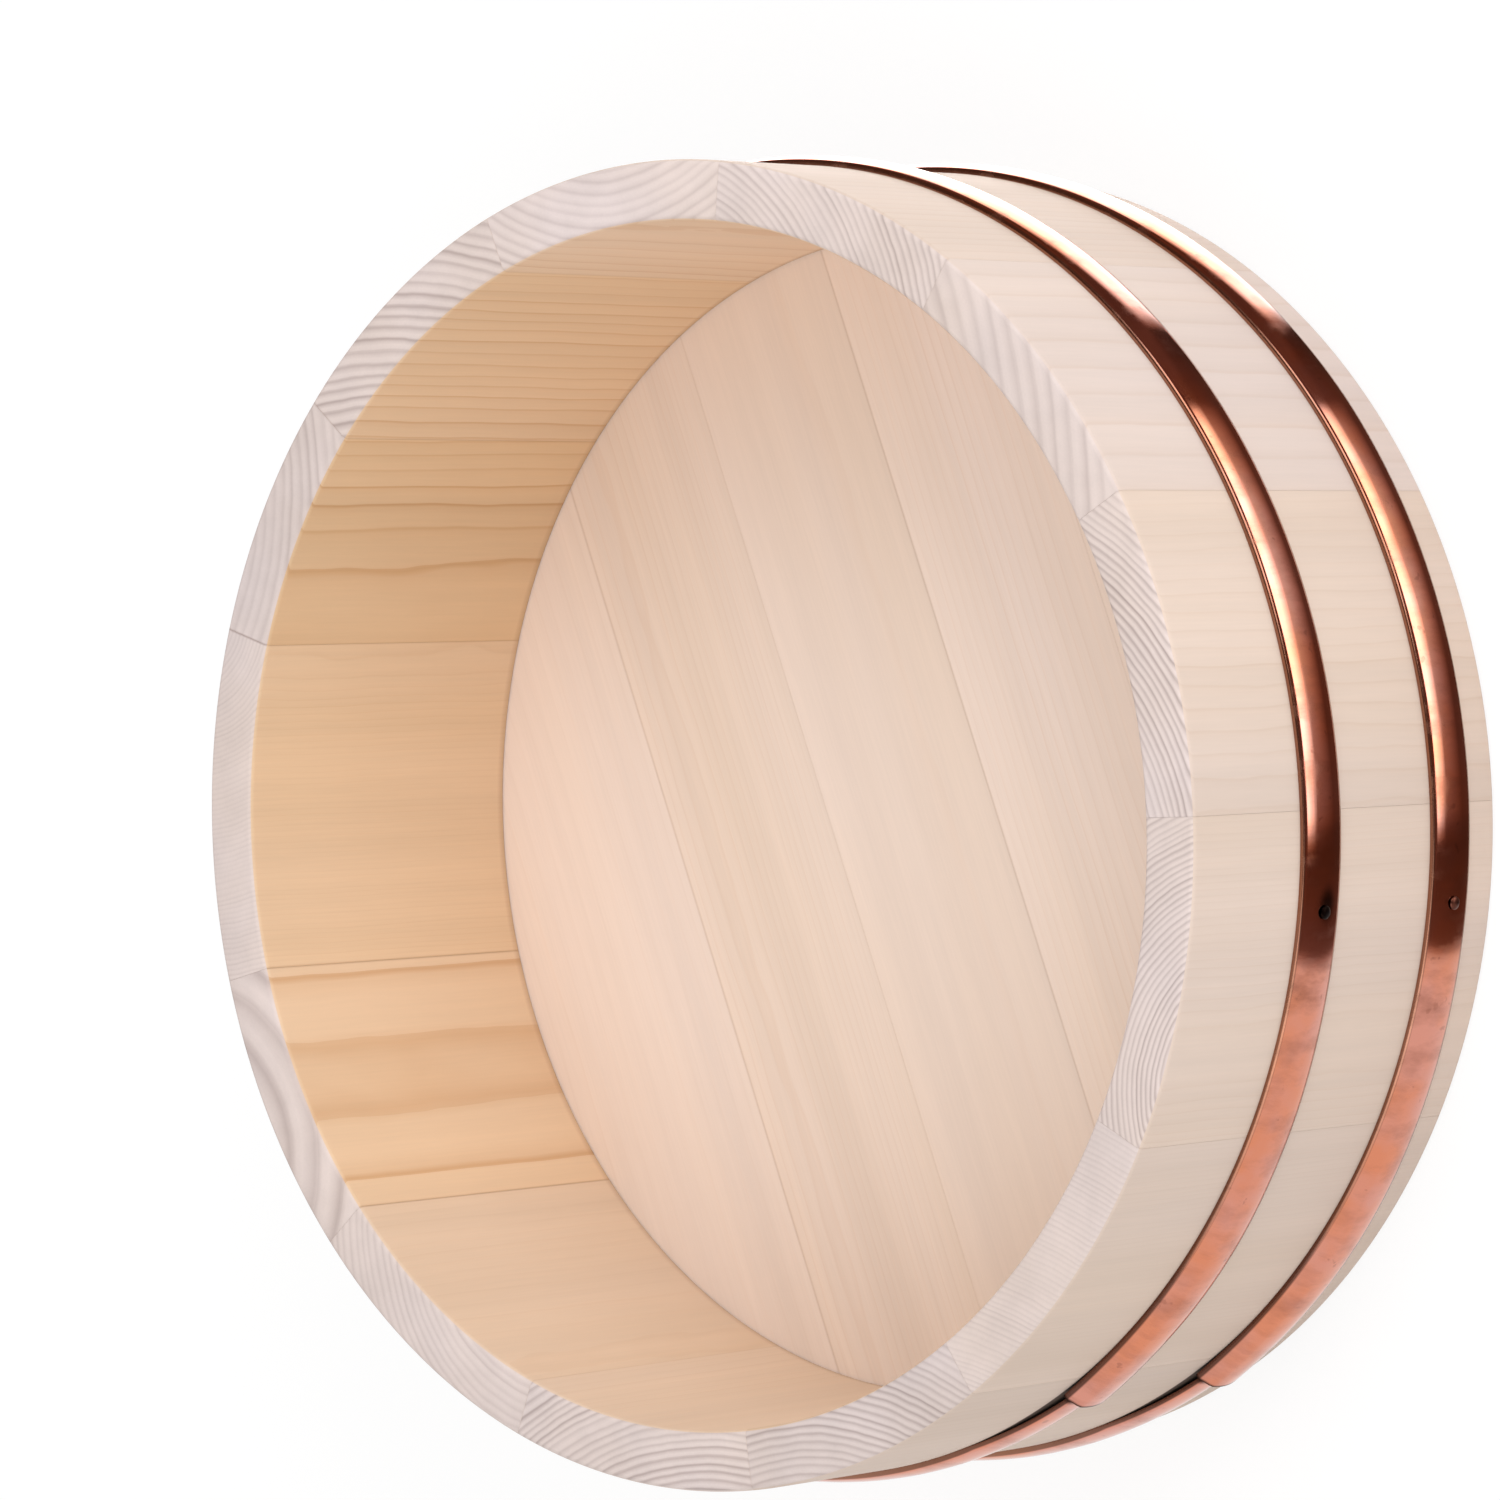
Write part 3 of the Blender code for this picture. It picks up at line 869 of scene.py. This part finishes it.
def floor_board(name, number, material):
    """A board cut from the round floor at its joints, with narrow strips along them for the stain."""
    points = node_points(name)
    low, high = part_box(name)
    rim = max(radius_of(p) for board in BOARDS for p in node_points(board))
    tongue = min(p.z for p in points if p.z > low.z + LEVEL)
    lip = max(radius_of(p) for p in points if p.z < low.z + LEVEL)
    shoulder = inner_radius(tongue) - FLOOR_ROOM
    profile = [(lip, low.z), (shoulder, tongue), (rim, tongue), (rim, high.z)]
    bm = bmesh.new()
    turned(bm, profile, FLOOR_SEGMENTS, Matrix.Identity(4))
    joints = []
    if name != BOARDS[0]:
        y = (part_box(BOARDS[number - 2])[1].y + low.y + JOINT_LINE) / 2
        joints.append((y, 1, DARK_SEAMS.get(name, PLAIN_SEAM)))
    if name != BOARDS[-1]:
        y = (high.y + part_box(BOARDS[number])[0].y - JOINT_LINE) / 2
        joints.append((y, -1, DARK_SEAMS.get(BOARDS[number], PLAIN_SEAM)))
    for y, inward, _ in joints:
        cut_board(bm, y, -inward, keep_all=False)
    for y, inward, _ in joints:
        cut_board(bm, y + inward * SEAM_WIDTH, 1, keep_all=True)
    piece = finished(name + "_wood", bm, [material])

    middle = Matrix.Translation((0, -(low.y + high.y) / 2, -(low.z + high.z) / 2))
    to_log = Matrix.Rotation(math.pi / 2, 4, "X") @ Matrix.Rotation(math.pi / 2, 4, "Z") @ middle
    lay_grain(piece, BOARD_LOGS[name], to_log, BOARD_SEED + number)
    seams_and_hoop_shade = []
    for vert in piece.data.vertices:
        near = [seam for y, _, seam in joints if abs(vert.co.y - y) < SEAM_WIDTH / 2]
        seams_and_hoop_shade.append((*max(near, default=(0.0, 0.0)), 0.0))
    vertex_values(piece, "seam", seams_and_hoop_shade)
    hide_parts(name)


# Hoops and tacks
def hoop_lay(start, left, radius, full):
    """Width of the strip, its lift off the staves, and how far its upper edge comes down again beside the
    tongue, at arc lengths from its start and left to its tip."""
    width = full - (full - HOOP_TONGUE_WIDTH) * max(1 - start / HOOP_TONGUE_TAPER, 0)
    foot_of_ramp = HOOP_LAP + HOOP_LEVEL_ARC * radius + HOOP_RAMP
    climb = (HOOP_THICKNESS + HOOP_ROOM) * smooth_step((foot_of_ramp - left) / HOOP_RAMP)
    standoff = LAP_STANDOFF * smooth_step(1 - abs(left - HOOP_LAP / 2) / LAP_STANDOFF_REACH)
    spring = TIP_SPRING * max(1 - left / TIP_SPRING_LENGTH, 0) ** 2
    drop = climb + standoff if left < start else 0.0
    return width, climb + standoff + spring, drop


def strip_section():
    """Points round the strip's section: share of the half width, and share of the thickness.

    Both edges are hammered down to the wood.
    """
    flat = HOOP_EDGE[-1][0]
    shares = [flat * (2 * step / HOOP_CROSS_STEPS - 1) for step in range(1, HOOP_CROSS_STEPS)]
    lip = -HOOP_ROOM / HOOP_THICKNESS
    inside = [(-1.0, lip)] + [(share, 0.0) for share in shares] + [(1.0, lip)]
    outside = [*HOOP_EDGE] + [(-share, 1.0) for share in shares]
    outside += [(-share, depth) for share, depth in reversed(HOOP_EDGE)]
    return inside + outside


def tack_marks(from_tacks, across):
    """Depth of the tacks' dimples and strength of their black spots at a place on the strip."""
    dimple, black = 0.0, 0.0
    for along in from_tacks:
        dimple += DIMPLE_DEPTH * math.exp(-(along**2 + across**2) / DIMPLE_RADIUS**2)
        black_along = (along - TACK_BLACK_MIDDLE[0]) / TACK_BLACK[0]
        black_across = (across - TACK_BLACK_MIDDLE[1]) / TACK_BLACK[1]
        black = max(black, math.exp(-((black_along**2 + black_across**2) ** 2)))
    return dimple, black


def hoop(name, material):
    """Domed strip wound once round the staves with its last stretch lifted over its first end."""
    low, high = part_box(name)
    height, full = (low.z + high.z) / 2, high.z - low.z
    radius = outer_radius(height)
    crest = min(radius_of(p) for p in node_points(name) if abs(p.z - height) < LEVEL)
    rise = crest - radius - HOOP_ROOM
    bend = ((full / 2) ** 2 + rise**2) / (2 * rise)
    tack_angles = [tack_place(tack_name)[1] for tack_name in TACKS if hoop_of(tack_name) == name]
    lap = HOOP_LAP / radius
    whole = 2 * math.pi + lap
    steps = math.ceil(whole / HOOP_ARC_STEP)
    section = strip_section()
    loops, strip, wear = [], [], []
    for step in range(steps + 1):
        wound = whole * step / steps
        start, left = wound * radius, (whole - wound) * radius
        width, lift, drop = hoop_lay(start, left, radius, full)
        angle = HOOP_SEAM + lap - wound
        from_tacks = [radius * math.remainder(angle - place, 2 * math.pi) for place in tack_angles]
        loop = []
        for share, depth in section:
            across = width * (share + 1) / 2 - full / 2
            dome = math.sqrt(bend**2 - across**2) - (bend - rise)
            dents = (wound * DENTS_ROUND, across * DENTS_ACROSS, height * DENTS_BETWEEN_HOOPS)
            dimple, black = tack_marks(from_tacks, across)
            lowered = drop * smooth_step((across - EDGE_DROP_START) / (full / 2 - EDGE_DROP_START))
            uneven = HOOP_DENT * noise.noise(dents) - dimple - lowered
            seat = outer_radius(height + across) + HOOP_ROOM + dome + lift + uneven
            loop.append(at_angle(angle, seat + HOOP_THICKNESS * depth, height + across))
            strip.append((start, across, depth * HOOP_THICKNESS))
            wear.append((start, left, TACK_BLACK_SHARE[name] * black))
        loops.append(loop)
    bm = bmesh.new()
    loft(bm, loops)
    piece = finished(name + "_strip", bm, [material])
    vertex_values(piece, "strip", strip)
    vertex_values(piece, "wear", wear)
    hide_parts(name)


def tack_place(name):
    """Height, direction and head radius of a tack."""
    low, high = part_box(name)
    middle = (low + high) / 2
    return middle.z, angle_of(middle), (high.z - low.z) / 2


def tack(name, material):
    """A low domed head on a pointed shank, hammered down into its dimple."""
    z, angle, head = tack_place(name)
    outwards = at_angle(angle, 1, 0)
    depths = [outwards.dot(point) for point in node_points(name)]
    top = max(depths)
    tip = min(depths) - top
    profile = [
        (TACK_POINT_RADIUS, tip),
        (TACK_SHANK_RADIUS, tip + TACK_POINT_LENGTH),
        (TACK_SHANK_RADIUS, -TACK_DOME),
    ]
    for step in range(TACK_HEAD_STEPS):
        turn = math.pi / 2 * step / TACK_HEAD_STEPS
        profile.append((head * math.cos(turn), TACK_DOME * (math.sin(turn) - 1)))
    place = Matrix.Translation(at_angle(angle, top - DIMPLE_DEPTH, z))
    place @= Matrix.Rotation(angle, 4, "Z") @ Matrix.Rotation(math.pi / 2, 4, "Y")
    bm = bmesh.new()
    turned(bm, profile, TACK_SEGMENTS, place)
    piece = finished(name + "_head", bm, [material])
    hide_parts(name)


# Studio
def paper():
    """White paper under the tub, which shows white and keeps a faint shadow."""
    material = bpy.data.materials.new("white_paper")
    tree = Tree(material)
    lit = tree.add("BsdfDiffuse", {"Color": grey(PAPER_ALBEDO)})
    faint = tree.add("BsdfDiffuse", {"Color": grey(PAPER_SEEN_ALBEDO)})
    glow = tree.add("Emission", {"Color": grey(1), "Strength": PAPER_GLOW})
    shown = tree.add("AddShader", {0: faint, 1: glow})
    tree.surface(tree.add("MixShader", {0: tree.seen(), 1: lit, 2: shown}))
    bm = bmesh.new()
    bmesh.ops.create_grid(bm, x_segments=1, y_segments=1, size=PAPER_SIZE / 2)
    mesh = bpy.data.meshes.new("paper")
    bm.to_mesh(mesh)
    bm.free()
    mesh.materials.append(material)
    sheet = bpy.data.objects.new("paper", mesh)
    sheet.location.z = -PAPER_DROP
    sheet.visible_glossy = False
    bpy.context.scene.collection.objects.link(sheet)


def reflected_panels(tree):
    """Level of light that polished metal meets in each direction round the studio."""
    pole = at_angle(PANEL_POLE_AZIMUTH, math.cos(PANEL_POLE_ELEVATION), math.sin(PANEL_POLE_ELEVATION))
    direction = tree.add("TexCoord", output="Generated")
    facing = tree.vectors("NORMALIZE", tree.vectors("ADD", direction, pole))
    x, y, z = tree.parts(facing)
    round_tub = tree.maths("FRACT", tree.maths("DIVIDE", tree.maths("ARCTAN2", y, x), 2 * math.pi))
    tilt = tree.maths("DIVIDE", tree.maths("ARCSINE", z), math.radians(1))

    def along_rows(places, values, peak):
        stops = [(place / 360, value / peak) for place, value in zip(places, values)]
        return tree.times(tree.ramp(round_tub, stops), peak)

    places, above, edge, below, foot = zip(*PANELS)
    above, below, foot = (along_rows(places, levels, PANEL_PEAK) for levels in (above, below, foot))
    under_edge = tree.maths("SUBTRACT", along_rows(places, edge, PANEL_STEEPEST), tilt)
    lower = tree.blend(tree.fade(under_edge, 0, PANEL_FADE), below, foot)
    level = tree.blend(tree.fade(under_edge, -PANEL_EDGE_BLUR / 2, PANEL_EDGE_BLUR / 2), above, lower)
    ceiling = along_rows(*zip(*CEILING), PANEL_PEAK)
    over = tree.fade(tilt, CEILING_TILT - CEILING_BLUR / 2, CEILING_TILT + CEILING_BLUR / 2)
    return tree.blend(over, level, ceiling)


def world():
    """Even light all round, white where it is seen, and panels with brown gaps where metal reflects it."""
    sky = bpy.data.worlds.new("studio")
    bpy.context.scene.world = sky
    tree = Tree(sky)
    reflected = tree.ray("Glossy")
    panels = reflected_panels(tree)
    tint = tree.mix(tree.fade(panels, DARK_LEVEL, BRIGHT_LEVEL), rgb(*DARK_TINT), grey(1))
    colour = tree.mix(reflected, grey(1), tint)
    strength = tree.blend(reflected, tree.blend(tree.seen(), WORLD_STRENGTH, 1.0), panels)
    light = tree.add("Background", {"Color": colour, "Strength": strength})
    tree.add("OutputWorld", {"Surface": light})


def lamp(name, azimuth, elevation, watts):
    """A large square lamp that faces the tub."""
    data = bpy.data.lights.new(name, "AREA")
    data.size = LAMP_SIZE
    data.energy = watts
    light = bpy.data.objects.new(name, data)
    azimuth, elevation = math.radians(azimuth), math.radians(elevation)
    light.location = LAMP_DISTANCE * at_angle(azimuth, math.cos(elevation), math.sin(elevation))
    light.rotation_euler = (-light.location).to_track_quat("-Z", "Y").to_euler()
    bpy.context.scene.collection.objects.link(light)


def camera():
    """The photograph's view, rolled on its side."""
    flat, height = math.cos(CAMERA_ELEVATION), math.sin(CAMERA_ELEVATION)
    back = Vector((math.sin(CAMERA_AZIMUTH) * flat, -math.cos(CAMERA_AZIMUTH) * flat, height))
    level_right = Vector((0, 0, 1)).cross(back).normalized()
    level_up = back.cross(level_right)
    up = level_up * math.cos(CAMERA_ROLL) + level_right * math.sin(CAMERA_ROLL)
    turn = Matrix((up.cross(back), up, back)).transposed().to_4x4()
    data = bpy.data.cameras.new("photo_view")
    data.lens = CAMERA_LENS_MM
    view = bpy.data.objects.new("photo_view", data)
    view.matrix_world = Matrix.Translation(CAMERA_AIM + back * CAMERA_DISTANCE) @ turn
    bpy.context.scene.collection.objects.link(view)
    bpy.context.scene.camera = view


def main():
    stave_wood = [
        softwood("stave_outside", hooped=True),
        softwood("stave_inside", floored=True),
        softwood("stave_ends", across=True),
    ]
    floor_wood = softwood("floor_wood")
    hoop_copper = copper("hoop_copper")
    tack_copper = {name: oxide(*shades) for name, shades in TACK_COPPER.items()}
    peg_bamboo = bamboo("bamboo")
    for number, name in enumerate(STAVES, start=1):
        stave(name, number, stave_wood)
    for number, name in enumerate(BOARDS, start=1):
        floor_board(name, number, floor_wood)
    for name in HOOPS:
        hoop(name, hoop_copper)
    for name in TACKS:
        tack(name, tack_copper[hoop_of(name)])
    for name in PINS:
        frame["nodes"][name].material_slots[0].material = peg_bamboo
    paper()
    world()
    for name, (azimuth, elevation, watts) in LAMPS.items():
        lamp(name, azimuth, elevation, watts)
    camera()
    bpy.context.scene.view_settings.view_transform = "Standard"


main()
